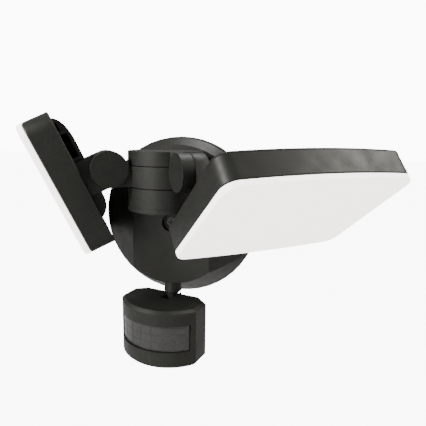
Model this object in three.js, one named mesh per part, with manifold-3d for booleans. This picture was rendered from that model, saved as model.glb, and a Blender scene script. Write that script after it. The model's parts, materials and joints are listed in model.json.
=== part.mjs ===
// Twin-head LED security floodlight with a motion sensor, as a wall-mounted assembly.
// Millimetres, +Z up. The origin is the centre of the wall plate's back face, the wall is the plane
// y = 0 and the light faces -Y. Both lamp heads are drawn turned and tilted, as they are aimed.
import * as THREE from 'three';
import Module from 'manifold-3d';
import { mergeVertices } from 'three/addons/utils/BufferGeometryUtils.js';

// ---- driving dimensions -------------------------------------------------------------------
const GAP = 0.35;               // clearance between touching pieces

const PLATE_R = 62.5;           // wall plate, fits over a 100 mm round junction box
const PLATE_T = 3.4;
const COVER_BACK = 4.4;         // the cover starts here, in front of the shadow groove
const COVER_STEP = 9;           // depth of the shallow rim of the cover
const COVER_FRONT = 36.7;       // depth of the flat front face
const FRONT_R = 47;             // radius of the cone where it meets the flat front
const FRONT_HALF = 29.5;        // half width of the flat front between the two side facets
const SHELF_Z = 28;             // top of the deep part of the cover
const UPPER_FRONT = 19;         // depth of the flat face above that shelf, behind the column
const WALL = 2.4;

const COLUMN_Y = 46.4;          // swivel column: axis distance from the wall
const COLUMN_R = 26;
const COLUMN_BOTTOM = 12.4;
const COLUMN_JOINTS = [28.4, 43.2];
const COLUMN_TOP = 52.8;
const JOINT_GAP = 0.6;          // shadow line between the swivel rings
const AXLE_R = 6;

const ARM_REACH = 39.5;         // column axis to tilt pivot
const PIVOT_R = 12.2;
const PIVOT_Z = 40.8;
const DISC_INNER = 8.2;         // the disc's inner face, from the arm's centre line
const DISC_T = 8;
const BRIDGE_ROOT = 3.4;        // the same, where the bridge meets its ring
const LUG_OUTER = 10;           // the lug's outer face, on the other side of the centre line
const BOLT_R = 3;

const HEAD_L = 136.6;
const HEAD_W = 95.2;
const HEAD_BOW = 2.6;           // how far each long edge bows outward
const HEAD_CORNER = 10.5;
const HEAD_T = 17.6;            // dark housing
const DIFFUSER_T = 4.2;
const HEAD_BACK = 17.6;         // pivot to the housing's back rim
const HEAD_OFFSET = 62.6;       // arm's centre line to the middle of the head
const RECESS = 5;               // rear recess inside the back rim
const HUMP_H = 7.6;             // how far the rear cover stands behind the back rim
const FIN_Z = 32.8;             // a fin bridges the gap at the rear cover's inner end here
const HUMP_FOOT = -29.5;        // its raised part starts here, below the middle of the head
const RIGHT = { side: 1, heading: 37.7, tilt: 51.8 };
const LEFT = { side: -1, heading: -58.4, tilt: 24.6 };

const NECK_Y = 30.5;            // sensor pan axis
const NECK_R = 6.8;
const NECK_TOP = 45;
const NECK_BOTTOM = 54.6;
const SENSOR_TOP = 57.4;
const SENSOR_H = 43.2;
const SENSOR_BACK_HALF = 23.6;
const SENSOR_HALF = 32.1;
const SENSOR_CHAMFER = 8.4;
const SENSOR_EDGE = 2;          // bevel round the top and bottom
const SENSOR_SIDE = 14;
const SENSOR_BULGE = 17;
const SENSOR_AT = [-1.2, 5.1];  // middle of the side line, right and forward of the pan axis
const SENSOR_HEADING = -14.4;
const TILT_PIN_DROP = 6;        // tilt pin below the sensor's top
const WINDOW_TOP = 11.5;
const WINDOW_H = 19;

const segmentsFor = (r) => (r < 5 ? 16 : r < 14 ? 28 : 48);

// ---- materials ----------------------------------------------------------------------------
const material = (color, roughness, metalness = 0) =>
  new THREE.MeshStandardMaterial({ color, roughness, metalness });
const shellPlastic = () => material(0x3a3b38, 0.5);
const darkPlastic = () => material(0x222322, 0.6);
const opal = () => material(0xf2efe8, 0.45);
const smoked = () => material(0x55565a, 0.3);
const rubber = () => material(0x1b1b1b, 0.85);
const steel = () => material(0xa9acb0, 0.35, 1);
const aluminium = () => material(0xc2c5c8, 0.4, 1);
const brass = () => material(0xb6913f, 0.35, 1);
const board = () => material(0x1f5a3a, 0.55);
const whiteBoard = () => material(0xe6e6e2, 0.5);
const blackPart = () => material(0x1a1a1c, 0.5);

// ---- solids -------------------------------------------------------------------------------
const manifoldLibrary = await Module();
manifoldLibrary.setup();

function solid(geometry) {
  const bare = geometry.clone();
  bare.deleteAttribute('normal');
  bare.deleteAttribute('uv');
  const merged = mergeVertices(bare, 1e-4);
  const index = merged.index.array;
  return new manifoldLibrary.Manifold(new manifoldLibrary.Mesh({
    numProp: 3,
    vertProperties: new Float32Array(merged.attributes.position.array),
    triVerts: new Uint32Array(index),
  }));
}

function geometryOf(body) {
  const mesh = body.getMesh();
  const geometry = new THREE.BufferGeometry();
  geometry.setAttribute('position', new THREE.BufferAttribute(mesh.vertProperties, 3));
  geometry.setIndex(new THREE.BufferAttribute(mesh.triVerts, 1));
  geometry.computeVertexNormals();
  return geometry;
}

function add(group, name, body, look) {
  const mesh = new THREE.Mesh(geometryOf(body), look);
  mesh.name = name;
  group.add(mesh);
  return mesh;
}

const union = (first, ...others) => others.reduce((total, next) => total.add(next), first);
const cut = (first, ...others) => others.reduce((total, next) => total.subtract(next), first);

// Boxes, given by their two opposite corners.
function box(x0, x1, y0, y1, z0, z1) {
  const geometry = new THREE.BoxGeometry(x1 - x0, y1 - y0, z1 - z0);
  geometry.translate((x0 + x1) / 2, (y0 + y1) / 2, (z0 + z1) / 2);
  return solid(geometry);
}

// A round bar or cone between two places on an axis: 'x', 'y' or 'z'.
function round(axis, r0, from, to, r1 = r0, at = [0, 0], segments = segmentsFor(r0)) {
  const geometry = new THREE.CylinderGeometry(r1, r0, to - from, segments);
  geometry.translate(0, (from + to) / 2, 0);
  if (axis === 'z') geometry.rotateX(Math.PI / 2).translate(at[0], at[1], 0);
  if (axis === 'x') geometry.rotateZ(-Math.PI / 2).translate(0, at[0], at[1]);
  if (axis === 'y') geometry.translate(at[0], 0, at[1]);
  return solid(geometry);
}

// A shape drawn in the X-Z plane and extruded forward (towards -Y) from yBack.
function forward(shape, yBack, depth, curveSegments = 6) {
  const geometry = new THREE.ExtrudeGeometry(shape, { depth, bevelEnabled: false, curveSegments });
  geometry.rotateX(Math.PI / 2).translate(0, yBack, 0);
  return solid(geometry);
}

// A shape drawn in the X-Y plane and extruded upward from zBottom.
function upward(shape, zBottom, height, curveSegments = 18) {
  const geometry = new THREE.ExtrudeGeometry(shape, {
    depth: height, bevelEnabled: false, curveSegments,
  });
  geometry.translate(0, 0, zBottom);
  return solid(geometry);
}

// A pan-head screw along Y: the head is at the back end when facing is 1, at the front when -1.
function screw(headR, shankR, headY, length, facing, at) {
  const head = facing > 0 ? [headY, headY + 1.8] : [headY - 1.8, headY];
  const shank = facing > 0 ? [headY - length, headY + 0.1] : [headY - 0.1, headY + length];
  const slotY = facing > 0 ? [headY + 1, headY + 3] : [headY - 3, headY - 1];
  return cut(
    union(round('y', headR, ...head, headR, at, 16), round('y', shankR, ...shank, shankR, at, 10)),
    box(at[0] - headR, at[0] + headR, ...slotY, at[1] - 0.5, at[1] + 0.5),
  );
}

// ---- base: wall plate, cover and electronics -------------------------------------------------
function coverOuter(inset) {
  const front = COVER_FRONT - inset;
  const rim = round('y', PLATE_R - 0.3 - inset, -COVER_STEP, -COVER_BACK);
  const cone = round('y', FRONT_R - inset, -front, -COVER_STEP + 0.5, PLATE_R - 0.4 - inset);
  const facets = new THREE.Shape();
  const backHalf = PLATE_R - 3 - inset;
  facets.moveTo(-backHalf, -COVER_STEP);
  facets.lineTo(-FRONT_HALF + inset, -front);
  facets.lineTo(FRONT_HALF - inset, -front);
  facets.lineTo(backHalf, -COVER_STEP);
  facets.lineTo(backHalf, -COVER_STEP + 1);
  facets.lineTo(-backHalf, -COVER_STEP + 1);
  const limits = upward(facets, -PLATE_R, 2 * PLATE_R);
  const aboveShelf = box(-PLATE_R, PLATE_R, -COVER_FRONT - 1, -UPPER_FRONT + inset,
    SHELF_Z - inset, PLATE_R + 1);
  return union(rim, cut(cone.intersect(limits), aboveShelf));
}

function frontCover() {
  const bossTop = COLUMN_JOINTS[0] - JOINT_GAP / 2;
  const at = [0, -COLUMN_Y];
  const boss = union(
    round('z', COLUMN_R, COLUMN_BOTTOM, bossTop, COLUMN_R, at),
    round('z', COLUMN_R + 0.6, COLUMN_BOTTOM - 0.2, COLUMN_BOTTOM + 2.6, COLUMN_R + 0.6, at),
  );
  const collar = round('z', NECK_R, -NECK_BOTTOM, -NECK_TOP, NECK_R - 1.2, [0, -NECK_Y]);
  const pillar = round('y', 8.6, -COVER_FRONT + 0.5, -12);
  const hollow = cut(
    coverOuter(WALL).add(round('y', PLATE_R - 0.3 - WALL, -COVER_BACK - 1, -COVER_BACK + 1)),
    pillar,
    round('z', NECK_R - 0.4, -NECK_BOTTOM, -41, NECK_R - 0.4, [0, -NECK_Y]),
  );
  const bossHollow = round('z', COLUMN_R - WALL, COLUMN_BOTTOM + WALL, bossTop - WALL,
    COLUMN_R - WALL, at);
  return cut(
    union(coverOuter(0), boss, collar),
    hollow,
    bossHollow,
    round('z', AXLE_R + GAP, bossTop - 5, bossTop + 1, AXLE_R + GAP, at),
    round('y', 6.4, -COVER_FRONT - 1, -COVER_FRONT + 3.2, 6.4, [0, -0.6]),
    round('y', 4.3, -COVER_FRONT, -COVER_FRONT + 6, 4.3, [0, -0.6]),
    round('y', 2.4, -COVER_FRONT + 4, -8, 2.4, [0, -0.6]),
    round('z', 3.6 + GAP, -NECK_BOTTOM - 1, -36, 3.6 + GAP, [0, -NECK_Y]),
    round('z', 4.8 + GAP, -46, -36, 4.8 + GAP, [0, -NECK_Y]),
  );
}

function keyholes() {
  return [-42, 42].map((x) => union(
    round('y', 4.5, -5, 1, 4.5, [x, 0], 24),
    box(x - 2.2, x + 2.2, -5, 1, 0, 9),
  ));
}

function addBase(group) {
  const hubs = round('y', 7, -PLATE_T - 8, -PLATE_T + 0.2, 7, [0, -0.6], 32);
  const plate = cut(
    union(round('y', PLATE_R, -PLATE_T, 0), hubs),
    ...keyholes(),
    round('y', 11, -5, 1, 11, [0, 25], 32),
    round('y', 2, -PLATE_T - 9, -PLATE_T, 2, [0, -0.6], 16),
    round('y', 2.3, -5, 1, 2.3, [22, -30], 16),
  );
  add(group, 'wall_plate', plate, shellPlastic());
  add(group, 'base_gasket', cut(
    round('y', 60.4, -COVER_BACK + GAP, -PLATE_T - GAP + 0.15),
    round('y', 58, -COVER_BACK - 1, 0),
  ), rubber());
  add(group, 'front_cover', frontCover(), shellPlastic());
  add(group, 'cover_screw', cut(
    union(
      round('y', 3.9, -COVER_FRONT + 3.5, -COVER_FRONT + 5.7, 3.9, [0, -0.6], 28),
      round('y', 1.65, -COVER_FRONT + 5.6, -PLATE_T - 1, 1.65, [0, -0.6], 16),
    ),
    box(-2.4, 2.4, -COVER_FRONT + 3, -COVER_FRONT + 4.5, -1.1, -0.1),
    box(-0.5, 0.5, -COVER_FRONT + 3, -COVER_FRONT + 4.5, -3, 1.8),
  ), steel());
  add(group, 'cable_grommet', cut(
    union(
      round('y', 10.6, -PLATE_T - 0.4, -0.4, 10.6, [0, 25], 32),
      round('y', 12.6, -PLATE_T - 2, -PLATE_T - GAP, 12.6, [0, 25], 32),
    ),
    round('y', 4.2, -8, 1, 4.2, [0, 25], 24),
  ), rubber());
  add(group, 'ground_screw', screw(4, 1.9, -PLATE_T - GAP - 0.2, 2.6, -1, [22, -30]), brass());
  add(group, 'driver_board', cut(
    box(-30, 30, -12.6, -11, -44, 20),
    round('y', 10.5, -14, -10, 10.5, [0, -0.6], 32),
  ), board());
  add(group, 'transformer', box(-27, -13, -27, -13, -30, -14), blackPart());
  add(group, 'capacitor', round('y', 5, -27, -13, 5, [-18, 10], 24), blackPart());
  add(group, 'relay', box(13, 25, -26, -13, 0, 16), blackPart());
  add(group, 'terminal_block', box(12, 28, -23, -13, -24, -12), whiteBoard());
}

// ---- swivel column -----------------------------------------------------------------------------
function addColumn(group) {
  const at = [0, -COLUMN_Y];
  const bossTop = COLUMN_JOINTS[0] - JOINT_GAP / 2;
  const capBottom = COLUMN_TOP - 2;
  const axle = cut(
    union(
      round('z', AXLE_R, bossTop - 6, capBottom - 2.4, AXLE_R, at),
      round('z', AXLE_R + 3, bossTop - 6, bossTop - WALL - GAP, AXLE_R + 3, at),
    ),
    round('z', AXLE_R - 2, bossTop - 7, COLUMN_TOP, AXLE_R - 2, at),
  );
  add(group, 'swivel_axle', axle, steel());
  add(group, 'axle_retainer', cut(
    round('z', AXLE_R + 4, capBottom - 4.6, capBottom - 2.6, AXLE_R + 4, at),
    round('z', AXLE_R + GAP, capBottom - 5, COLUMN_TOP, AXLE_R + GAP, at),
  ), steel());
  COLUMN_JOINTS.forEach((z, i) => {
    add(group, ['lower_swivel_washer', 'upper_swivel_washer'][i], cut(
      round('z', COLUMN_R - 1.6, z - 0.08, z + 0.08, COLUMN_R - 1.6, at),
      round('z', AXLE_R + 4, z - 1, z + 1, AXLE_R + 4, at),
    ), darkPlastic());
  });
}

// ---- swivel arms: a ring on the column, a bridge and the pivot disc -------------------------------
function armSolid({ side }, zLow, zHigh) {
  const x0 = side > 0 ? -DISC_INNER : DISC_INNER - DISC_T;
  const x1 = x0 + DISC_T;
  const ring = round('z', COLUMN_R, zLow, zHigh);
  // In plan the bridge is as thick as the disc at the pivot and narrows towards the ring.
  const inner = side > 0 ? x0 : x1;
  const outer = side > 0 ? x1 : x0;
  const plan = new THREE.Shape();
  plan.moveTo(outer, -ARM_REACH);
  plan.lineTo(inner, -ARM_REACH);
  plan.lineTo(-side * BRIDGE_ROOT, -COLUMN_R + 4);
  plan.lineTo(outer, -COLUMN_R + 4);
  const low = Math.max(zLow, PIVOT_Z - PIVOT_R);
  const bridge = upward(plan, low, Math.min(zHigh, PIVOT_Z + PIVOT_R) - low);
  const disc = round('x', PIVOT_R, x0, x1, PIVOT_R, [-ARM_REACH, PIVOT_Z]);
  return cut(
    union(ring, bridge, disc),
    round('x', BOLT_R + GAP, side > 0 ? x0 + 2.2 : x0 - 1, side > 0 ? x1 + 1 : x1 - 2.2,
      BOLT_R + GAP, [-ARM_REACH, PIVOT_Z]),
  );
}

function rightArm() {
  const low = COLUMN_JOINTS[1] + JOINT_GAP / 2;
  return cut(
    armSolid(RIGHT, low, COLUMN_TOP),
    round('z', AXLE_R + GAP, low - 1, COLUMN_TOP + 1),
    round('z', AXLE_R + 4.6, COLUMN_TOP - 7, COLUMN_TOP + 1),
    round('z', COLUMN_R - 3.4, COLUMN_TOP - 2, COLUMN_TOP + 1),
  );
}

function leftArm() {
  const low = COLUMN_JOINTS[0] + JOINT_GAP / 2;
  const high = COLUMN_JOINTS[1] - JOINT_GAP / 2;
  return cut(
    armSolid(LEFT, low, high),
    round('z', AXLE_R + GAP, low - 1, high + 1),
    cut(
      round('z', COLUMN_R - 3, low + 2.6, high - 2.6),
      round('z', AXLE_R + 3, low, high),
    ).subtract(box(-40, 40, -60, -COLUMN_R + 6, low, high)),
    box(-3, 3, 4, 12, low + 2.7, high - 2.7).add(box(-3, 3, 7, 12, low - 1, low + 3)),
  );
}

// ---- lamp heads -------------------------------------------------------------------------------
// A rounded rectangle whose long edges bow outward, inset on every side.
function headOutline(inset, corner = HEAD_CORNER) {
  const h = HEAD_L / 2 - inset;
  const w = HEAD_W / 2 - inset;
  const r = Math.max(corner - inset, 2);
  const quarter = Math.PI / 2;
  const shape = new THREE.Shape();
  shape.moveTo(h, -w + r);
  shape.lineTo(h, w - r);
  shape.absarc(h - r, w - r, r, 0, quarter);
  shape.quadraticCurveTo(0, w + 2 * HEAD_BOW, -h + r, w);
  shape.absarc(-h + r, w - r, r, quarter, 2 * quarter);
  shape.lineTo(-h, -w + r);
  shape.absarc(-h + r, -w + r, r, 2 * quarter, 3 * quarter);
  shape.quadraticCurveTo(0, -w - 2 * HEAD_BOW, h - r, -w);
  shape.absarc(h - r, -w + r, r, 3 * quarter, 4 * quarter);
  return shape;
}

// The lug runs straight back from the housing and ends half round about the pivot.
function lug(side) {
  const inner = DISC_T - DISC_INNER + GAP;
  const [x0, x1] = side > 0 ? [inner, LUG_OUTER] : [-LUG_OUTER, -inner];
  const depth = HEAD_BACK + RECESS + 1;
  return union(
    round('x', PIVOT_R, x0, x1, PIVOT_R),
    box(x0, x1, -depth, 0, -PIVOT_R, PIVOT_R),
  );
}

function headHousing(side) {
  const front = -(HEAD_BACK + HEAD_T);
  const centre = [side * HEAD_OFFSET, 0, 0];
  const shell = cut(
    forward(headOutline(0), -HEAD_BACK, HEAD_T),
    forward(headOutline(2.2), -HEAD_BACK + 1, RECESS + 1),
    forward(headOutline(2.6), -HEAD_BACK - RECESS - 2.4, HEAD_T),
  ).translate(centre);
  const ribs = [-2, -1, 0, 1, 2].map((i) => box(
    side * HEAD_OFFSET - HEAD_L / 2 + 1.5, side * HEAD_OFFSET + HEAD_L / 2 - 1.5,
    -HEAD_BACK - RECESS - 1, -HEAD_BACK - 0.6, i * 15.4 - 0.7, i * 15.4 + 0.7,
  ));
  const pocket = forward(rearOutline(-GAP), -HEAD_BACK + 2, RECESS + 2).translate(centre);
  const bosses = coverScrewPlaces(side).map((at) => round(
    'y', 3.2, -HEAD_BACK - RECESS - 1, -HEAD_BACK - RECESS + 3.2, 3.2, at, 16,
  ));
  const holes = coverScrewPlaces(side).map((at) => round(
    'y', 1.4 + GAP, -HEAD_BACK - RECESS - 1.6, -HEAD_BACK, 1.4 + GAP, at, 12,
  ));
  return cut(
    union(cut(union(shell, ...ribs), pocket), lug(side), ...bosses),
    ...holes,
    round('x', BOLT_R + GAP, -20, 20),
    round('y', 3, front, -HEAD_BACK - RECESS + 0.5, 3, [side * 40, 0], 20),
  );
}

// The rear cover's footprint sits inside the recess, set back from the inner end for the lug.
function rearOutline(inset) {
  const h = HEAD_L / 2 - 9 - inset;
  const w = HEAD_W / 2 - 3.4 - inset;
  const r = Math.max(8 - inset, 2);
  const quarter = Math.PI / 2;
  const shape = new THREE.Shape();
  shape.moveTo(h, -w + r);
  shape.lineTo(h, w - r);
  shape.absarc(h - r, w - r, r, 0, quarter);
  shape.lineTo(-h + r, w);
  shape.absarc(-h + r, w - r, r, quarter, 2 * quarter);
  shape.lineTo(-h, -w + r);
  shape.absarc(-h + r, -w + r, r, 2 * quarter, 3 * quarter);
  shape.lineTo(h - r, -w);
  shape.absarc(h - r, -w + r, r, 3 * quarter, 4 * quarter);
  return shape;
}

// Side profile of the rear cover, in the depth-height plane, swept along the head. Its lower edge
// lies flat below the rim, which keeps it clear of the base.
function humpProfile(inset) {
  const w = HEAD_W / 2 - 3.4 - inset;
  const top = HUMP_H - inset;
  const shape = new THREE.Shape();
  shape.moveTo(-RECESS, -w);
  shape.lineTo(-0.8 - inset, -w);
  shape.lineTo(-0.8 - inset, HUMP_FOOT + inset);
  shape.quadraticCurveTo(top, HUMP_FOOT + 4, top, HUMP_FOOT + 14);
  shape.lineTo(top, w - 20);
  shape.quadraticCurveTo(top, w - 4, 0.4 - inset, w);
  shape.lineTo(-RECESS, w);
  return shape;
}

function sweep(shape, x0, x1) {
  const geometry = new THREE.ExtrudeGeometry(shape, {
    depth: x1 - x0, bevelEnabled: false, curveSegments: 6,
  });
  // drawn with x = height behind the back rim and y = up; laid along X
  const m = new THREE.Matrix4().set(0, 0, 1, x0, 1, 0, 0, -HEAD_BACK, 0, 1, 0, 0, 0, 0, 0, 1);
  geometry.applyMatrix4(m);
  return solid(geometry);
}

const coverScrewPlaces = (side) => [[24, -21], [104, -21], [104, 24], [24, 24]]
  .map(([x, z]) => [side * x, z]);

function rearCover(side) {
  const x = side * HEAD_OFFSET;
  const half = HEAD_L / 2 - 9;
  const outline = forward(rearOutline(GAP), -HEAD_BACK + HUMP_H + 1, RECESS + HUMP_H + 0.6)
    .translate([x, 0, 0]);
  const outer = sweep(humpProfile(GAP), x - half, x + half).intersect(outline);
  const inner = sweep(humpProfile(WALL), x - half + WALL, x + half - WALL);
  const lugRoom = box(...(side > 0 ? [-30, LUG_OUTER + GAP] : [-LUG_OUTER - GAP, 30]),
    -HEAD_BACK - RECESS - 1, 30, -PIVOT_R - GAP, PIVOT_R + GAP);
  const closing = side > 0 ? [LUG_OUTER + GAP, LUG_OUTER + GAP + WALL]
    : [-LUG_OUTER - GAP - WALL, -LUG_OUTER - GAP];
  const endX = x - side * half;
  const ordered = (a, b) => (a < b ? [a, b] : [b, a]);
  const endWall = ordered(endX - side * 1, endX + side * (WALL + 1));
  const fin = ordered(endX - side * 5, endX + side * 1.5);
  const shell = union(
    outer.subtract(inner),
    box(...closing, -HEAD_BACK - RECESS + GAP, -HEAD_BACK + HUMP_H - 1, -PIVOT_R - 2, PIVOT_R + 2),
    box(...fin, -HEAD_BACK - RECESS + 1, -HEAD_BACK + 2.6, FIN_Z - 0.6, FIN_Z + 0.6),
    ...coverScrewPlaces(side).map((at) => round(
      'y', 4.6, -HEAD_BACK - RECESS + 3.2 + GAP, -HEAD_BACK + HUMP_H - 1, 4.6, at, 16,
    ).intersect(outer)),
  );
  return cut(
    shell,
    lugRoom,
    box(...endWall, -HEAD_BACK - RECESS + 1.6, -HEAD_BACK + HUMP_H - 3, PIVOT_R + 3, FIN_Z - 1.4),
    box(...endWall, -HEAD_BACK - RECESS + 1.6, -HEAD_BACK + 1.2, FIN_Z + 1.4, HEAD_W / 2 - 8),
    ...coverScrewPlaces(side).map((at) => round(
      'y', 1.4 + GAP, -HEAD_BACK - RECESS - 1, 20, 1.4 + GAP, at, 12,
    )),
    ...coverScrewPlaces(side).map((at) => round(
      'y', 3.4, -HEAD_BACK + 1.6, 20, 3.4, at, 16,
    )),
  );
}

function addHead(group, { side }, prefix) {
  const centre = [side * HEAD_OFFSET, 0, 0];
  const front = -(HEAD_BACK + HEAD_T);
  const webFront = -HEAD_BACK - RECESS - 2.4;
  const name = (piece) => `${prefix}_${piece}`;
  add(group, name('housing'), headHousing(side), shellPlastic());
  add(group, name('rear_cover'), rearCover(side), shellPlastic());
  add(group, name('heat_spreader'), cut(
    forward(headOutline(8), webFront - GAP, 2.4).translate(centre),
    round('y', 3, front, 0, 3, [side * 40, 0], 20),
  ), aluminium());
  const chips = [];
  for (let i = -4; i <= 4; i += 2) {
    for (let j = -1; j <= 1; j += 1) {
      const x = side * HEAD_OFFSET + i * 12.5;
      const z = j * 22;
      chips.push(box(x - 1.6, x + 1.6, webFront - 8.2, webFront - 7, z - 1.6, z + 1.6));
    }
  }
  add(group, name('led_board'), union(
    forward(headOutline(10), webFront - 6.3, 1.2).translate(centre),
    ...chips,
  ), whiteBoard());
  add(group, name('lens_gasket'), cut(
    forward(headOutline(1.8), front - 0.2, 0.3).translate(centre),
    forward(headOutline(4.2), front + 1, 4).translate(centre),
  ), rubber());
  const diffuser = cut(
    union(
      forward(headOutline(0.6), front - 0.7, DIFFUSER_T - 1.7),
      forward(headOutline(1.3), front - 0.7, DIFFUSER_T - 0.7),
    ),
    forward(headOutline(3.6), front + 1, DIFFUSER_T - 1),
  ).translate(centre);
  add(group, name('diffuser'), diffuser, opal());
  addPivot(group, side, prefix);
  coverScrewPlaces(side).forEach((at, i) => {
    add(group, name(`cover_screw_${i + 1}`), screw(
      2.9, 1.4, -HEAD_BACK + 1.6 + GAP, RECESS + 3, 1, at,
    ), steel());
  });
}

// The tilt pivot: a bolt through disc and lug, a nut in the lug's outer face, a wave washer between.
function addPivot(group, side, prefix) {
  const outer = side * LUG_OUTER;
  const inner = -side * DISC_INNER;
  const span = (a, b) => (a < b ? [a, b] : [b, a]);
  const bolt = round('x', BOLT_R, ...span(inner + side * 2.6, outer + side * 2.2));
  add(group, `${prefix}_pivot_bolt`, bolt, steel());
  add(group, `${prefix}_pivot_nut`, cut(
    round('x', 5.2, ...span(outer + side * GAP, outer + side * (GAP + 2.6)), 5.2, [0, 0], 6),
    round('x', BOLT_R + GAP, -30, 30),
  ), steel());
}

// ---- motion sensor -------------------------------------------------------------------------------
// Plan outline: flat back, short chamfers, straight sides and a bowed front.
function sensorPlan(inset) {
  const [cx, cy] = SENSOR_AT;
  const back = SENSOR_BACK_HALF - inset * 0.5;
  const half = SENSOR_HALF - inset;
  const bulge = SENSOR_BULGE - inset * 0.3;
  const radius = (half * half + bulge * bulge) / (2 * bulge);
  const spread = Math.asin(half / radius);
  const sideY = -cy - SENSOR_SIDE;
  const centreY = sideY - bulge + radius;
  const backY = -cy + SENSOR_CHAMFER - inset;
  const shape = new THREE.Shape();
  shape.moveTo(cx - back, backY);
  shape.lineTo(cx - half, -cy);
  shape.lineTo(cx - half, sideY);
  shape.absarc(cx, centreY, radius, -Math.PI / 2 - spread, -Math.PI / 2 + spread);
  shape.lineTo(cx + half, -cy);
  shape.lineTo(cx + back, backY);
  return shape;
}

function windowPlan(outset, depth) {
  const [cx, cy] = SENSOR_AT;
  const radius = (SENSOR_HALF ** 2 + SENSOR_BULGE ** 2) / (2 * SENSOR_BULGE);
  const centreY = -cy - SENSOR_SIDE - SENSOR_BULGE + radius;
  const spread = Math.asin((SENSOR_HALF - 3.2 + outset) / radius);
  const shape = new THREE.Shape();
  const outer = radius - 0.4 + (outset > 0 ? 3 : 0);
  shape.absarc(cx, centreY, outer, -Math.PI / 2 - spread, -Math.PI / 2 + spread);
  shape.absarc(cx, centreY, radius - depth, -Math.PI / 2 + spread, -Math.PI / 2 - spread, true);
  return shape;
}

// The sensor's outer block: its plan, drawn in at the top and bottom by a plain bevel.
function sensorBlock(bottom) {
  const geometry = new THREE.ExtrudeGeometry(sensorPlan(SENSOR_EDGE), {
    depth: SENSOR_H - 2 * SENSOR_EDGE,
    bevelThickness: SENSOR_EDGE,
    bevelSize: SENSOR_EDGE,
    bevelSegments: 1,
    curveSegments: 18,
  });
  geometry.translate(0, 0, bottom + SENSOR_EDGE);
  return solid(geometry);
}

function sensorHousing() {
  const top = -SENSOR_TOP;
  const bottom = top - SENSOR_H;
  const backY = -SENSOR_AT[1] + SENSOR_CHAMFER;
  const body = cut(
    sensorBlock(bottom),
    upward(sensorPlan(2.4), bottom + 2.4, SENSOR_H - 4.8),
    box(-60, 60, backY - 2.6, 30, bottom + 2.4, top - 2.4),
    upward(windowPlan(GAP, 4), top - WINDOW_TOP - WINDOW_H - GAP, WINDOW_H + 2 * GAP),
  );
  const pinZ = top - TILT_PIN_DROP;
  const lugBlock = cut(
    union(
      round('z', 6.6, pinZ - 5, top, 6.6, [0, 0], 36),
      box(-6.6, 6.6, -SENSOR_AT[1], 0, pinZ - 5, top),
    ),
    box(-2.9, 2.9, -20, 20, pinZ - 4.4, top + 1),
  );
  const dials = dialPlaces().map(([x, y]) => round('z', 3 + GAP, bottom - 1, bottom + 3,
    3 + GAP, [x, y], 20));
  return cut(
    union(body, lugBlock),
    round('x', 1.5 + GAP, -20, 20, 1.5 + GAP, [0, pinZ], 16),
    box(-4.3, 4.3, -12, 7, top - 0.01 - 4, top + 1),
    ...dials,
  );
}

const dialPlaces = () => [-14, 0, 14].map((x) => [SENSOR_AT[0] + x, -SENSOR_AT[1] - 10]);

function addSensor(group) {
  const pinZ = -SENSOR_TOP - TILT_PIN_DROP;
  const stemTop = -NECK_BOTTOM - GAP;
  const stemSolid = cut(
    union(
      round('z', 3.6, stemTop - 1, -41, 3.6, [0, 0], 28),
      round('z', 4.8, -45.4, -42.4, 4.8, [0, 0], 28),
      round('z', 4.2, -SENSOR_TOP + GAP, stemTop),
      round('z', 5.2, stemTop - 1, stemTop),
      box(-2.5, 2.5, -3.9, 3.9, pinZ, -SENSOR_TOP + 1),
      round('x', 3.9, -2.5, 2.5, 3.9, [0, pinZ], 24),
    ),
    round('x', 1.5 + GAP, -10, 10, 1.5 + GAP, [0, pinZ], 16),
  );
  add(group, 'sensor_stem', stemSolid, shellPlastic());
  const bottom = -SENSOR_TOP - SENSOR_H;
  const backY = -SENSOR_AT[1] + SENSOR_CHAMFER;
  add(group, 'sensor_housing', sensorHousing(), shellPlastic());
  add(group, 'sensor_tilt_pin', round('x', 1.5, -6.2, 6.2, 1.5, [0, pinZ], 16), steel());
  add(group, 'pir_lens', upward(windowPlan(0, 1.8), -SENSOR_TOP - WINDOW_TOP - WINDOW_H, WINDOW_H),
    smoked());
  add(group, 'sensor_back_cover', cut(
    upward(sensorPlan(0.2), bottom + 2.75, SENSOR_H - 5.5)
      .intersect(box(-60, 60, backY - 2.2, backY + 1, bottom, 0)),
    box(-7, 7, backY - 4, 10, pinZ - 5.4, 0),
    ...backScrewPlaces().map((at) => round('y', 1.2 + GAP, -10, 10, 1.2 + GAP, at, 12)),
  ), shellPlastic());
  backScrewPlaces().forEach((at, i) => {
    add(group, `sensor_back_screw_${i + 1}`, screw(2.2, 1.1, backY + 0.15, 5, 1, at), steel());
  });
  const boardY = -SENSOR_AT[1] - 9;
  add(group, 'sensor_board', box(SENSOR_AT[0] - 22, SENSOR_AT[0] + 22, boardY - 1.5, boardY,
    bottom + 6, pinZ - 7), board());
  add(group, 'pir_element', round('y', 4.5, boardY - 6, boardY - 1.8, 4.5,
    [SENSOR_AT[0], -SENSOR_TOP - WINDOW_TOP - WINDOW_H / 2], 24), steel());
  dialPlaces().forEach(([x, y], i) => {
    add(group, ['time_dial', 'lux_dial', 'range_dial'][i], cut(
      round('z', 3, bottom + 0.2, bottom + 4, 3, [x, y], 20),
      box(x - 2, x + 2, y - 0.5, y + 0.5, bottom - 1, bottom + 1.2),
    ), darkPlastic());
  });
}

const backScrewPlaces = () => [-20, 20].map((x) => [
  SENSOR_AT[0] + x, -SENSOR_TOP - SENSOR_H + 6,
]);

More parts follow.
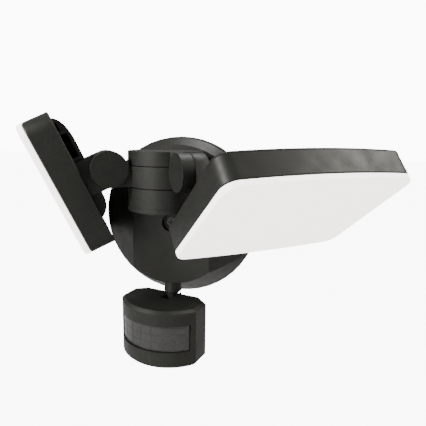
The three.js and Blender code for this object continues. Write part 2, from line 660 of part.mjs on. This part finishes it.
// ---- assembly ----------------------------------------------------------------------------------
function addSwivel(root, spec, prefix, arm) {
  const swivel = new THREE.Group();
  swivel.position.set(0, -COLUMN_Y, 0);
  swivel.rotation.z = THREE.MathUtils.degToRad(spec.heading);
  add(swivel, `${prefix}_arm`, arm, shellPlastic());
  const tilt = new THREE.Group();
  tilt.position.set(0, -ARM_REACH, PIVOT_Z);
  tilt.rotation.x = THREE.MathUtils.degToRad(spec.tilt);
  addHead(tilt, spec, prefix);
  swivel.add(tilt);
  root.add(swivel);
  return swivel;
}

const floodlight = new THREE.Group();
addBase(floodlight);
addColumn(floodlight);
const rightSwivel = addSwivel(floodlight, RIGHT, 'right', rightArm());
addSwivel(floodlight, LEFT, 'left', leftArm());
add(rightSwivel, 'column_cap', round('z', COLUMN_R - 3.4 - GAP, COLUMN_TOP - 1.8, COLUMN_TOP - 0.1),
  shellPlastic());

const sensorPan = new THREE.Group();
sensorPan.position.set(0, -NECK_Y, 0);
sensorPan.rotation.z = THREE.MathUtils.degToRad(SENSOR_HEADING);
addSensor(sensorPan);
floodlight.add(sensorPan);

export default floodlight;
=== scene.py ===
"""Looks of the wall-mounted security floodlight: finer shells, materials, light and camera."""

import json
import math

import bmesh
import bpy
from mathutils import Matrix, Vector


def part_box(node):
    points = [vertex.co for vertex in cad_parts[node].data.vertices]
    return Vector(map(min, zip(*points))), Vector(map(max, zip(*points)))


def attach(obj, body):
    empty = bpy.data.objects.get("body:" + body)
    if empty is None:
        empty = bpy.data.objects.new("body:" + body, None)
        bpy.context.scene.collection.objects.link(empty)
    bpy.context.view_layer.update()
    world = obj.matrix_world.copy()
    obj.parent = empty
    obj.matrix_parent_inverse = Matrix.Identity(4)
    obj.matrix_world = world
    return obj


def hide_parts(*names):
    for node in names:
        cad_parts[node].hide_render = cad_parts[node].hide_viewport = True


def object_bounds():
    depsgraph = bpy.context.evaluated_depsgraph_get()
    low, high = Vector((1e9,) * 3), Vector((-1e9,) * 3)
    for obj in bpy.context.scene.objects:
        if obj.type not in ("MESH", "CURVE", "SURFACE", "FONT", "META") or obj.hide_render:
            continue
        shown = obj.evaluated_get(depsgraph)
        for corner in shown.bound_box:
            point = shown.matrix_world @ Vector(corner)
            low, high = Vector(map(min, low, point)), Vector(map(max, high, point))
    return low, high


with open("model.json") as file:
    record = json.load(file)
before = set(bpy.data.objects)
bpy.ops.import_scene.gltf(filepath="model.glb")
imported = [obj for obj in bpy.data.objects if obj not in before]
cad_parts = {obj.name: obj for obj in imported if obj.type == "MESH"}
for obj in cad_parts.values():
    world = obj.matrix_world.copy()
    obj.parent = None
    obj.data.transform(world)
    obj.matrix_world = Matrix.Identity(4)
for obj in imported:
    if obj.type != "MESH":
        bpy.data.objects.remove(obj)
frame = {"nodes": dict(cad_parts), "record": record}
cad_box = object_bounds()

MM = 0.001
NODES = frame["nodes"]
BODY_OF = {
    node: body
    for body, nodes in frame["record"]["behaviour"]["bodies"].items()
    for node in nodes
}
SLOT_OF = {row["node"]: row["material_slot"] for row in frame["record"]["subparts"]}
JOINTS = {joint["name"]: joint for joint in frame["record"]["behaviour"]["joints"]}

# Lamp head, in millimetres, in its own frame: X along the tilt pivot, -Y the way it shines, Z up.
HEAD_LENGTH = 136.6
HEAD_WIDTH = 95.2
HEAD_BOW = 2.6
HEAD_CORNER = 10.5
HEAD_THICKNESS = 17.6
HEAD_BACK = 17.6
HEAD_OFFSET = 62.6
RECESS = 5.0
DIFFUSER_THICKNESS = 4.2
LUG_RADIUS = 12.2
LUG_NEAR = 0.15
LUG_FAR = 10.0
TILT = {"right": 51.8, "left": 24.6}
SIDE = {"right": 1, "left": -1}

RIB_OUTER_INSET = 1.8
RIB_INNER_INSET = 8.4
RIB_THICKNESS = 1.4
RIB_PITCH = 15.4
RIB_COUNT = 5

# Motion sensor, in millimetres, in its own frame: the pan axis is Z and the window faces -Y.
SENSOR_MIDDLE = (-1.2, -5.1)
SENSOR_HALF = 32.1
SENSOR_SIDE = 14.0
SENSOR_BULGE = 17.0
LENS_SET_BACK = 0.4
LENS_SIDE = 4.6
LENS_COLUMNS = 7
LENS_ROWS = 3
CELL_MARGIN = 0.9
CELL_GAP = 0.5
CELL_PROUD = 0.14
CELL_ROOT = 0.3
CELL_SLOPE = 0.2
CELL_STEPS = 5

CORNER_STEPS = 14
BOW_STEPS = 28
LUG_STEP = 6
HARD_EDGE = math.radians(34)
SMOOTH_EDGE = math.radians(31)
BEVEL_STEPS = 2

# How much the hard edges of each copied CAD node are rounded, in millimetres.
ROUNDED = {
    "front_cover": 0.35, "wall_plate": 0.4, "right_arm": 0.35, "left_arm": 0.35, "column_cap": 0.3,
    "sensor_housing": 0.5, "sensor_back_cover": 0.3, "sensor_stem": 0.3, "pir_lens": 0.2,
    "cover_screw": 0.15, "cable_grommet": 0.3, "transformer": 0.5, "relay": 0.5,
    "capacitor": 0.5, "terminal_block": 0.5,
}
REAR_COVER_ROUNDING = 0.5

# Studio, in metres and watts. The camera sees the floor and the room much brighter than they
# light the object, which gives the photograph's white backdrop.
WHITE = (1.0, 1.0, 1.0)
ROOM_LIGHT = 0.33
BACKDROP_LIGHT = 11.0
FLOOR_GLOW = 0.05
FLOOR_TONE = 0.45
FLOOR_WHITENING = 0.85
FLOOR_REACH = 4.0
FLOOR_DROP = 0.05
LIGHT_AIM = (0.0, -0.05, 0.0)
LIGHTS = [
    # name, place, width, power and colour
    ("key", (-0.85, -0.8, 0.6), 0.4, 24.0, WHITE),
    ("front", (-0.45, -1.0, 0.2), 0.5, 4.5, WHITE),
    ("fill", (0.9, -0.8, 0.35), 0.6, 0.5, WHITE),
    ("top", (0.1, 0.35, 0.9), 0.5, 6.0, WHITE),
    ("right", (0.9, 0.2, 0.68), 0.4, 7.5, (1.0, 0.97, 0.92)),
]

# Camera that matches the photograph: angles in degrees, places in metres, lens in millimetres.
CAMERA_AZIMUTH = 11.12
CAMERA_ELEVATION = 10.45
CAMERA_ROLL = 0.79
CAMERA_DISTANCE = 0.34141
CAMERA_TARGET = (0.02494, 0.0, 0.00164)
CAMERA_LENS = 35.53
CAMERA_SENSOR = 36.0


# ---- materials --------------------------------------------------------------------------------
def new_material(name, color, roughness, metallic=0.0):
    material = bpy.data.materials.new(name)
    material.use_nodes = True
    shader = material.node_tree.nodes["Principled BSDF"]
    shader.inputs["Base Color"].default_value = (*color, 1.0)
    shader.inputs["Roughness"].default_value = roughness
    shader.inputs["Metallic"].default_value = metallic
    return material, material.node_tree, shader


def object_noise(tree, scale, detail=4.0):
    coordinates = tree.nodes.new("ShaderNodeTexCoord")
    noise = tree.nodes.new("ShaderNodeTexNoise")
    noise.inputs["Scale"].default_value = scale
    noise.inputs["Detail"].default_value = detail
    tree.links.new(coordinates.outputs["Object"], noise.inputs["Vector"])
    return noise.outputs["Fac"]


def ramp(tree, source, stops):
    node = tree.nodes.new("ShaderNodeValToRGB")
    node.color_ramp.elements[0].position = stops[0][0]
    node.color_ramp.elements[0].color = (*stops[0][1], 1.0)
    node.color_ramp.elements[1].position = stops[-1][0]
    node.color_ramp.elements[1].color = (*stops[-1][1], 1.0)
    tree.links.new(source, node.inputs["Fac"])
    return node.outputs["Color"]


def bump(tree, shader, height, strength, distance):
    node = tree.nodes.new("ShaderNodeBump")
    node.inputs["Strength"].default_value = strength
    node.inputs["Distance"].default_value = distance
    tree.links.new(height, node.inputs["Height"])
    tree.links.new(node.outputs["Normal"], shader.inputs["Normal"])


def grey(value):
    return (value, value, value)


def shell_plastic(name, tone):
    """Fine spark-eroded charcoal plastic: slight blotches in tone and gloss, and a tight grain."""
    dark = tuple(channel * 0.86 for channel in tone)
    light = tuple(channel * 1.16 for channel in tone)
    material, tree, shader = new_material(name, tone, 0.46)
    shader.inputs["Specular IOR Level"].default_value = 0.3
    shader.inputs["Specular Tint"].default_value = (1.0, 0.985, 0.92, 1.0)
    blotches = object_noise(tree, 38.0, 6.0)
    tree.links.new(ramp(tree, blotches, [(0.35, dark), (0.68, light)]), shader.inputs["Base Color"])
    gloss = object_noise(tree, 95.0, 5.0)
    tree.links.new(ramp(tree, gloss, [(0.3, grey(0.42)), (0.72, grey(0.53))]),
                   shader.inputs["Roughness"])
    bump(tree, shader, object_noise(tree, 2300.0, 2.0), 0.16, 0.00012)
    return material


def opal_plastic_painted_glow():
    material, tree, shader = new_material("opal", (0.93, 0.91, 0.865), 0.42)
    mottle = object_noise(tree, 16.0, 3.0)
    tree.links.new(ramp(tree, mottle, [(0.3, (0.90, 0.885, 0.845)), (0.75, (0.945, 0.93, 0.895))]),
                   shader.inputs["Base Color"])
    shader.inputs["Subsurface Weight"].default_value = 0.25
    shader.inputs["Subsurface Radius"].default_value = (0.004, 0.0036, 0.003)
    # Painted light: the diffuser of the unlit lamp glows (emission 3.0, warm white) to stand in for the
    # light it catches from below and the front; this glow also lights the base nearby.
    shader.inputs["Emission Color"].default_value = (1.0, 0.965, 0.9, 1.0)
    shader.inputs["Emission Strength"].default_value = 3.0
    bump(tree, shader, object_noise(tree, 900.0, 2.0), 0.08, 0.0001)
    return material


def smoked_plastic():
    material, tree, shader = new_material("smoked", (0.028, 0.028, 0.027), 0.32)
    haze = object_noise(tree, 60.0, 3.0)
    tree.links.new(ramp(tree, haze, [(0.3, (0.020, 0.020, 0.019)), (0.72, (0.036, 0.036, 0.034))]),
                   shader.inputs["Base Color"])
    shader.inputs["Subsurface Weight"].default_value = 0.15
    shader.inputs["Subsurface Radius"].default_value = (0.002, 0.002, 0.002)
    bump(tree, shader, object_noise(tree, 1200.0, 2.0), 0.1, 0.0001)
    return material


def rubbed(name, color, roughness, metallic, scale, spread, grain):
    """Any other finish: gloss that wanders with a noise, and a light grain."""
    material, tree, shader = new_material(name, color, roughness, metallic)
    wander = object_noise(tree, scale, 4.0)
    tree.links.new(
        ramp(tree, wander, [(0.3, grey(roughness - spread)), (0.7, grey(roughness + spread))]),
        shader.inputs["Roughness"],
    )
    bump(tree, shader, object_noise(tree, grain, 2.0), 0.12, 0.0001)
    return material


MATERIALS = {
    "shell": shell_plastic("shell", (0.0118, 0.0122, 0.0102)),
    "dark_plastic": rubbed("dark_plastic", (0.018, 0.018, 0.017), 0.6, 0.0, 90.0, 0.08, 2000.0),
    "opal": opal_plastic_painted_glow(),
    "smoked": smoked_plastic(),
    "rubber": rubbed("rubber", (0.012, 0.012, 0.012), 0.8, 0.0, 120.0, 0.08, 1500.0),
    "steel": rubbed("steel", (0.52, 0.53, 0.54), 0.3, 1.0, 300.0, 0.1, 3000.0),
    "black_steel": rubbed("black_steel", (0.012, 0.012, 0.012), 0.42, 0.0, 300.0, 0.08, 3000.0),
    "brass": rubbed("brass", (0.62, 0.46, 0.17), 0.32, 1.0, 300.0, 0.1, 3000.0),
    "aluminium": rubbed("aluminium", (0.6, 0.61, 0.62), 0.42, 1.0, 200.0, 0.1, 2500.0),
    "circuit_board": rubbed("circuit_board", (0.015, 0.10, 0.045), 0.45, 0.0, 80.0, 0.08, 1500.0),
    "white_board": rubbed("white_board", (0.78, 0.78, 0.75), 0.5, 0.0, 80.0, 0.08, 1500.0),
    "component_black": rubbed("component_black", (0.015, 0.015, 0.016), 0.5, 0.0, 90.0, 0.1, 1800.0),
}


# ---- making pieces ------------------------------------------------------------------------------
def smooth(mesh):
    """Smooth shading, with the sharper edges kept crisp."""
    bm = bmesh.new()
    bm.from_mesh(mesh)
    for face in bm.faces:
        face.smooth = True
    for edge in bm.edges:
        edge.smooth = len(edge.link_faces) == 2 and edge.calc_face_angle(0.0) < SMOOTH_EDGE
    bm.to_mesh(mesh)
    bm.free()


def place(name, mesh, node):
    """Puts a finished mesh in the scene in place of its CAD node, on the node's body."""
    piece = bpy.data.objects.new(name, mesh)
    bpy.context.scene.collection.objects.link(piece)
    mesh.materials.clear()
    mesh.materials.append(MATERIALS[SLOT_OF[node]])
    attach(piece, BODY_OF[node])
    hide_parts(node)


def refined(node, width):
    """Replaces a CAD node by a copy with its hard outer edges rounded and inner ones kept crisp."""
    mesh = NODES[node].data.copy()
    mesh.transform(NODES[node].matrix_world)
    bm = bmesh.new()
    bm.from_mesh(mesh)
    bmesh.ops.remove_doubles(bm, verts=bm.verts, dist=2e-6)
    bmesh.ops.dissolve_limit(
        bm, angle_limit=math.radians(0.6), verts=bm.verts, edges=bm.edges,
        use_dissolve_boundaries=False,
    )
    bmesh.ops.dissolve_degenerate(bm, edges=bm.edges, dist=1e-5)
    weight = bm.edges.layers.float.new("bevel_weight_edge")
    for edge in bm.edges:
        angle = edge.calc_face_angle_signed(0.0) if len(edge.link_faces) == 2 else 0.0
        edge[weight] = 1.0 if angle > HARD_EDGE else 0.0
        edge.smooth = angle > -HARD_EDGE
    bm.to_mesh(mesh)
    bm.free()
    for polygon in mesh.polygons:
        polygon.use_smooth = True
    rough = bpy.data.objects.new(node + "_rough", mesh)
    bpy.context.scene.collection.objects.link(rough)
    bevel = rough.modifiers.new("round", "BEVEL")
    bevel.width = width * MM
    bevel.segments = BEVEL_STEPS
    bevel.limit_method = "WEIGHT"
    bevel.use_clamp_overlap = True
    even = rough.modifiers.new("even", "WEIGHTED_NORMAL")
    even.weight = 100
    even.keep_sharp = True
    done = bpy.data.meshes.new_from_object(
        rough.evaluated_get(bpy.context.evaluated_depsgraph_get())
    )
    bpy.data.objects.remove(rough)
    place(node + "_shell", done, node)


def head_outline(inset):
    """A rounded rectangle whose long edges bow outward, as (x, z) in millimetres."""
    half = HEAD_LENGTH / 2 - inset
    wide = HEAD_WIDTH / 2 - inset
    r = max(HEAD_CORNER - inset, 2.0)
    points = []

    def corner(cx, cz, start):
        for i in range(CORNER_STEPS + 1):
            a = math.radians(start + 90 * i / CORNER_STEPS)
            points.append((cx + r * math.cos(a), cz + r * math.sin(a)))

    def bow(x0, x1, z, out):
        for i in range(1, BOW_STEPS):
            t = i / BOW_STEPS
            points.append((x0 + (x1 - x0) * t, z + 4 * out * t * (1 - t)))

    corner(half - r, wide - r, 0)
    bow(half - r, -half + r, wide, HEAD_BOW)
    corner(-half + r, wide - r, 90)
    corner(-half + r, -wide + r, 180)
    bow(-half + r, half - r, -wide, -HEAD_BOW)
    corner(half - r, -wide + r, 270)
    return points


def loft(rings, to_world):
    """A closed skin over rings, each an (inset, depth) pair around the head outline."""
    bm = bmesh.new()
    loops = []
    for inset, depth in rings:
        loops.append([
            bm.verts.new(to_world @ Vector((x * MM, depth * MM, z * MM)))
            for x, z in head_outline(inset)
        ])
    for a, b in zip(loops, loops[1:]):
        for i in range(len(a)):
            j = (i + 1) % len(a)
            bm.faces.new((a[i], a[j], b[j], b[i]))
    bm.faces.new(loops[0])
    bm.faces.new(list(reversed(loops[-1])))
    bmesh.ops.recalc_face_normals(bm, faces=bm.faces)
    mesh = bpy.data.meshes.new("loft")
    bm.to_mesh(mesh)
    bm.free()
    return mesh


def fillet(inset0, depth0, inset1, depth1, changes_first, steps=5):
    """A quarter round between two (inset, depth) places, and which of the two changes first."""
    places = []
    for i in range(steps + 1):
        a = math.pi / 2 * i / steps
        s, c = math.sin(a), 1 - math.cos(a)
        u, v = (s, c) if changes_first == "inset" else (c, s)
        places.append((inset0 + (inset1 - inset0) * u, depth0 + (depth1 - depth0) * v))
    return places


def head_frame(prefix):
    """The head's own frame in the world: pivot place, swivel heading and tilt."""
    joint = JOINTS[prefix + "_tilt"]
    heading = math.atan2(joint["axis"][1], joint["axis"][0])
    return (
        Matrix.Translation(Vector(joint["pos_m"]))
        @ Matrix.Rotation(heading, 4, "Z")
        @ Matrix.Rotation(math.radians(TILT[prefix]), 4, "X")
    )


def join(name, meshes, node):
    """Places several meshes as one piece."""
    bm = bmesh.new()
    for mesh in meshes:
        bm.from_mesh(mesh)
    done = bpy.data.meshes.new(name)
    bm.to_mesh(done)
    bm.free()
    smooth(done)
    place(name, done, node)


def lug_mesh(to_pivot, side):
    """The half-round lug with eased edges, from the pivot down into the rim."""
    r = LUG_RADIUS
    ease = 0.7
    near, far = side * LUG_NEAR, side * LUG_FAR
    bm = bmesh.new()
    foot = -(HEAD_BACK + RECESS)
    loops = []
    step = side * ease
    for x, shrink in ((near, ease), (near + step * 0.3, ease * 0.3), (near + step, 0),
                      (far - step, 0), (far - step * 0.3, ease * 0.3), (far, ease)):
        rr = r - shrink
        outline = [(foot, -rr)]
        outline += [
            (rr * math.sin(math.radians(a)), -rr * math.cos(math.radians(a)))
            for a in range(0, 181, LUG_STEP)
        ]
        outline.append((foot, rr))
        loops.append([bm.verts.new(to_pivot @ Vector((x * MM, y * MM, z * MM))) for y, z in outline])
    for a, b in zip(loops, loops[1:]):
        for i in range(len(a)):
            j = (i + 1) % len(a)
            bm.faces.new((a[i], a[j], b[j], b[i]))
    bm.faces.new(loops[0])
    bm.faces.new(list(reversed(loops[-1])))
    bmesh.ops.recalc_face_normals(bm, faces=bm.faces)
    mesh = bpy.data.meshes.new("lug")
    bm.to_mesh(mesh)
    bm.free()
    return mesh


def rib_mesh(to_centre, z):
    """A pair of short cooling ribs, one at each end of the head's back."""
    half = HEAD_LENGTH / 2
    mesh = bpy.data.meshes.new("rib")
    bm = bmesh.new()
    for end in (-1, 1):
        x0, x1 = sorted((end * (half - RIB_OUTER_INSET), end * (half - RIB_INNER_INSET)))
        made = bmesh.ops.create_cube(bm, size=1.0)["verts"]
        for vert in made:
            x = x0 if vert.co.x < 0 else x1
            y = -HEAD_BACK - RECESS - 0.5 if vert.co.y < 0 else -HEAD_BACK - 0.8
            height = z - RIB_THICKNESS / 2 if vert.co.z < 0 else z + RIB_THICKNESS / 2
            vert.co = to_centre @ Vector((x * MM, y * MM, height * MM))
    bm.to_mesh(mesh)
    bm.free()
    return mesh


def make_head(prefix):
    """One lamp head: its housing with lug and ribs, its diffuser and its rear cover."""
    side = SIDE[prefix]
    to_pivot = head_frame(prefix)
    to_centre = to_pivot @ Matrix.Translation((side * HEAD_OFFSET * MM, 0, 0))
    back = -HEAD_BACK
    front = back - HEAD_THICKNESS
    # From the wall behind the diffuser, over the front lip, back along the side and into the recess.
    rings = [(2.6, front + 12.0), (2.6, front + 0.5)]
    rings += fillet(2.6, front + 0.5, 2.1, front, "depth", 3)[1:]
    rings += fillet(1.5, front, 0.5, front + 1.0, "inset")
    rings += [(0.2, back - 1.4)]
    rings += fillet(0.0, back - 1.2, 1.0, back, "depth")
    rings += fillet(1.7, back, 2.2, back - 0.6, "inset", 3)
    rings += [(2.3, back - RECESS + 0.6)]
    rings += fillet(2.3, back - RECESS + 0.6, 3.0, back - RECESS, "depth", 3)[1:]
    rings += [(20.0, back - RECESS)]
    shell = loft(rings, to_centre)
    ribs = [rib_mesh(to_centre, (i - RIB_COUNT // 2) * RIB_PITCH) for i in range(RIB_COUNT)]
    join(prefix + "_housing_shell", [shell, lug_mesh(to_pivot, side)] + ribs, prefix + "_housing")

    # From under the lip, out over it, round the diffuser's edge and on to its middle.
    top = front - DIFFUSER_THICKNESS
    panel = [(3.4, front + 0.6), (3.4, front - 0.8), (1.5, front - 0.8), (0.6, front - 0.15)]
    panel += [(0.7, front - 1.6)]
    panel += fillet(0.9, top + 1.1, 2.0, top + 0.1, "depth", 6)
    panel += [(12.0, top + 0.03), (30.0, top)]
    diffuser = loft(panel, to_centre)
    smooth(diffuser)
    place(prefix + "_diffuser_panel", diffuser, prefix + "_diffuser")
    refined(prefix + "_rear_cover", REAR_COVER_ROUNDING)


def make_lens_cells():
    """The shallow Fresnel cells moulded in rows over the sensor's window."""
    joint = JOINTS["sensor_tilt"]
    heading = math.atan2(joint["axis"][1], joint["axis"][0])
    pan = JOINTS["sensor_pan"]["pos_m"]
    place_sensor = Matrix.Translation((pan[0], pan[1], 0)) @ Matrix.Rotation(heading, 4, "Z")
    radius = (SENSOR_HALF ** 2 + SENSOR_BULGE ** 2) / (2 * SENSOR_BULGE)
    centre_y = SENSOR_MIDDLE[1] - SENSOR_SIDE - SENSOR_BULGE + radius
    low, high = (corner[2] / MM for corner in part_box("pir_lens"))
    reach = math.asin((SENSOR_HALF - LENS_SIDE) / radius)
    inner = radius - LENS_SET_BACK - CELL_ROOT
    outer = radius - LENS_SET_BACK + CELL_PROUD
    tall = (high - low - 2 * CELL_MARGIN) / LENS_ROWS
    wide = 2 * reach / LENS_COLUMNS
    bm = bmesh.new()
    for row in range(LENS_ROWS):
        for column in range(LENS_COLUMNS):
            z0 = low + CELL_MARGIN + row * tall + CELL_GAP / 2
            z1 = z0 + tall - CELL_GAP
            a0 = -reach + column * wide + CELL_GAP / 2 / radius
            a1 = a0 + wide - CELL_GAP / radius
            section = [(inner, z0), (outer, z0 + CELL_SLOPE), (outer, z1 - CELL_SLOPE), (inner, z1)]
            loops = []
            for i in range(CELL_STEPS + 1):
                a = a0 + (a1 - a0) * i / CELL_STEPS
                loops.append([
                    bm.verts.new(place_sensor @ Vector((
                        (SENSOR_MIDDLE[0] + r * math.sin(a)) * MM,
                        (centre_y - r * math.cos(a)) * MM,
                        z * MM,
                    )))
                    for r, z in section
                ])
            for a, b in zip(loops, loops[1:]):
                for i in range(len(section)):
                    j = (i + 1) % len(section)
                    bm.faces.new((a[i], a[j], b[j], b[i]))
            bm.faces.new(loops[0])
            bm.faces.new(list(reversed(loops[-1])))
    bmesh.ops.recalc_face_normals(bm, faces=bm.faces)
    mesh = bpy.data.meshes.new("pir_lens_cells")
    bm.to_mesh(mesh)
    bm.free()
    smooth(mesh)
    cells = bpy.data.objects.new("pir_lens_cells", mesh)
    bpy.context.scene.collection.objects.link(cells)
    mesh.materials.append(MATERIALS["smoked"])
    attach(cells, BODY_OF["pir_lens"])


for prefix in ("right", "left"):
    make_head(prefix)
make_lens_cells()
for node, width in ROUNDED.items():
    refined(node, width)

replaced = set(ROUNDED)
for prefix in ("right", "left"):
    replaced |= {prefix + "_housing", prefix + "_diffuser", prefix + "_rear_cover"}
for node, piece in NODES.items():
    if node not in replaced:
        piece.data.materials.clear()
        piece.data.materials.append(MATERIALS[SLOT_OF[node]])
        smooth(piece.data)


# ---- stage, light and camera -----------------------------------------------------------------------
def make_floor():
    mesh = bpy.data.meshes.new("floor")
    reach, level = FLOOR_REACH, cad_box[0][2] - FLOOR_DROP
    mesh.from_pydata(
        [(x, y, level) for x, y in ((-reach, -reach), (reach, -reach), (reach, reach), (-reach, reach))],
        [], [(0, 1, 2, 3)],
    )
    floor = bpy.data.objects.new("floor", mesh)
    bpy.context.scene.collection.objects.link(floor)
    material, tree, shader = new_material("floor", grey(FLOOR_TONE), 0.8)
    shader.inputs["Specular IOR Level"].default_value = 0.1
    shader.inputs["Emission Color"].default_value = (1.0, 1.0, 1.0, 1.0)
    shader.inputs["Emission Strength"].default_value = FLOOR_GLOW
    white = tree.nodes.new("ShaderNodeEmission")
    white.inputs["Strength"].default_value = BACKDROP_LIGHT
    rays = tree.nodes.new("ShaderNodeLightPath")
    share = tree.nodes.new("ShaderNodeMath")
    share.operation = "MULTIPLY"
    share.inputs[1].default_value = FLOOR_WHITENING
    mix = tree.nodes.new("ShaderNodeMixShader")
    tree.links.new(rays.outputs["Is Camera Ray"], share.inputs[0])
    tree.links.new(share.outputs["Value"], mix.inputs["Fac"])
    tree.links.new(shader.outputs["BSDF"], mix.inputs[1])
    tree.links.new(white.outputs["Emission"], mix.inputs[2])
    tree.links.new(mix.outputs["Shader"], tree.nodes["Material Output"].inputs["Surface"])
    mesh.materials.append(material)


def area_light(name, place_m, size, watts, color):
    data = bpy.data.lights.new(name, "AREA")
    data.shape = "DISK"
    data.size = size
    data.energy = watts
    data.color = color
    lamp = bpy.data.objects.new(name, data)
    bpy.context.scene.collection.objects.link(lamp)
    lamp.location = place_m
    direction = Vector(LIGHT_AIM) - Vector(place_m)
    lamp.rotation_euler = direction.to_track_quat("-Z", "Y").to_euler()


def make_lights():
    for light in LIGHTS:
        area_light(*light)
    world = bpy.data.worlds.new("studio")
    world.use_nodes = True
    tree = world.node_tree
    studio = tree.nodes["Background"]
    studio.inputs["Color"].default_value = (1.0, 1.0, 1.0, 1.0)
    studio.inputs["Strength"].default_value = ROOM_LIGHT
    sweep = tree.nodes.new("ShaderNodeBackground")
    sweep.inputs["Color"].default_value = (1.0, 1.0, 1.0, 1.0)
    sweep.inputs["Strength"].default_value = BACKDROP_LIGHT
    mix = tree.nodes.new("ShaderNodeMixShader")
    rays = tree.nodes.new("ShaderNodeLightPath")
    tree.links.new(rays.outputs["Is Camera Ray"], mix.inputs["Fac"])
    tree.links.new(studio.outputs["Background"], mix.inputs[1])
    tree.links.new(sweep.outputs["Background"], mix.inputs[2])
    tree.links.new(mix.outputs["Shader"], tree.nodes["World Output"].inputs["Surface"])
    bpy.context.scene.world = world


def make_camera():
    azimuth = math.radians(CAMERA_AZIMUTH)
    elevation = math.radians(CAMERA_ELEVATION)
    roll = math.radians(CAMERA_ROLL)
    back = Vector((
        math.sin(azimuth) * math.cos(elevation),
        -math.cos(azimuth) * math.cos(elevation),
        math.sin(elevation),
    ))
    right = Vector((math.cos(azimuth), math.sin(azimuth), 0.0))
    up = back.cross(right)
    x_axis = math.cos(roll) * right + math.sin(roll) * up
    y_axis = -math.sin(roll) * right + math.cos(roll) * up
    data = bpy.data.cameras.new("camera")
    data.sensor_width = CAMERA_SENSOR
    data.lens = CAMERA_LENS
    data.clip_start = 0.01
    camera = bpy.data.objects.new("camera", data)
    bpy.context.scene.collection.objects.link(camera)
    matrix = Matrix((x_axis, y_axis, back)).transposed().to_4x4()
    matrix.translation = Vector(CAMERA_TARGET) + back * CAMERA_DISTANCE
    camera.matrix_world = matrix
    bpy.context.scene.camera = camera


make_floor()
make_lights()
make_camera()
